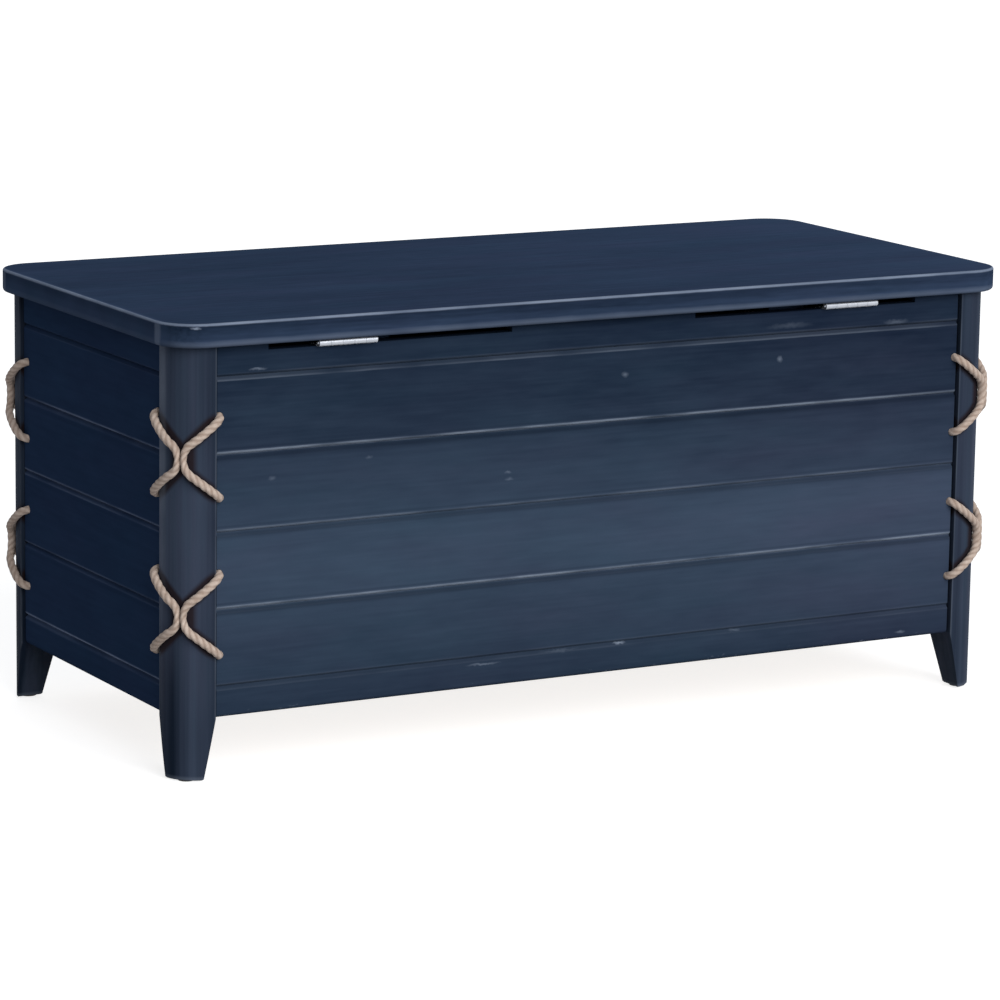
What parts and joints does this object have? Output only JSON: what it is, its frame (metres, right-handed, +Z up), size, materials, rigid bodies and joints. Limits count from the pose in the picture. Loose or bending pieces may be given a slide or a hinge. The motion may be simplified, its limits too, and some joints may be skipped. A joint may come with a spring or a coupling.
{
  "type": "storage chest",
  "caption": "Floor-standing plank storage chest with a hinged overhanging lid on slotted stays, quarter-round corner posts with tapered legs, and crossed rope lashings.",
  "frame": {"origin": "on the floor under the middle of the chest", "axes": "+X along the chest's length, +Y from the hinge side to the opening side, +Z up"},
  "size_m": [1.219, 0.558, 0.57],
  "materials": {
    "navy_paint": "satin navy blue paint, lightly rubbed through at the arrises",
    "bare_wood": "unfinished pale softwood and plywood",
    "hinge_steel": "bright zinc plated",
    "stay_steel": "zinc plated",
    "screw_steel": "zinc plated",
    "rope": "natural three-strand rope",
    "bumper_rubber": "matt black rubber",
    "glide_plastic": "matt black plastic"
  },
  "bodies": {
    "case": {"back_bottom_rail": "navy_paint", "back_left_lashings": "rope", "back_left_post": "navy_paint", "back_plank_1": "navy_paint", "back_plank_2": "navy_paint", "back_plank_3": "navy_paint", "back_plank_4": "navy_paint", "back_right_lashings": "rope", "back_right_post": "navy_paint", "back_top_rail": "navy_paint", "bottom_panel": "bare_wood", "end_cleats": "bare_wood", "foot_glides": "glide_plastic", "front_bottom_rail": "navy_paint", "front_left_lashings": "rope", "front_left_post": "navy_paint", "front_plank_1": "navy_paint", "front_plank_2": "navy_paint", "front_plank_3": "navy_paint", "front_plank_4": "navy_paint", "front_right_lashings": "rope", "front_right_post": "navy_paint", "front_top_rail": "navy_paint", "hinge_case_screws": "screw_steel", "left_bottom_rail": "navy_paint", "left_hinge_case_leaf": "hinge_steel", "left_hinge_pin": "hinge_steel", "left_plank_1": "navy_paint", "left_plank_2": "navy_paint", "left_plank_3": "navy_paint", "left_plank_4": "navy_paint", "left_stay_wall_plate": "stay_steel", "left_top_rail": "navy_paint", "lid_bumpers": "bumper_rubber", "long_cleats": "bare_wood", "right_bottom_rail": "navy_paint", "right_hinge_case_leaf": "hinge_steel", "right_hinge_pin": "hinge_steel", "right_plank_1": "navy_paint", "right_plank_2": "navy_paint", "right_plank_3": "navy_paint", "right_plank_4": "navy_paint", "right_stay_wall_plate": "stay_steel", "right_top_rail": "navy_paint", "stay_wall_screws": "screw_steel"},
    "lid": {"hinge_lid_screws": "screw_steel", "left_hinge_lid_leaf": "hinge_steel", "left_stay_lid_bracket": "stay_steel", "lid_battens": "navy_paint", "lid_panel": "navy_paint", "right_hinge_lid_leaf": "hinge_steel", "right_stay_lid_bracket": "stay_steel", "stay_lid_screws": "screw_steel"},
    "left_stay": {"left_stay_arm": "stay_steel"},
    "right_stay": {"right_stay_arm": "stay_steel"}
  },
  "joints": [
    {"name": "lid_hinge", "type": "hinge", "parent": "case", "child": "lid", "pos_m": [0, -0.266, 0.5352], "axis": [1, 0, 0], "range_deg": [0, 95]},
    {"name": "left_stay_pivot", "type": "hinge", "parent": "lid", "child": "left_stay", "pos_m": [-0.56925, -0.11617, 0.528], "axis": [1, 0, 0], "range_deg": [-47.6, 0]},
    {"name": "right_stay_pivot", "type": "hinge", "parent": "lid", "child": "right_stay", "pos_m": [0.56925, -0.11617, 0.528], "axis": [1, 0, 0], "range_deg": [-47.6, 0]}
  ],
  "couplings": [
    {"joint": "left_stay_pivot", "follows": "lid_hinge", "ratio": -0.5},
    {"joint": "right_stay_pivot", "follows": "lid_hinge", "ratio": -0.5}
  ]
}
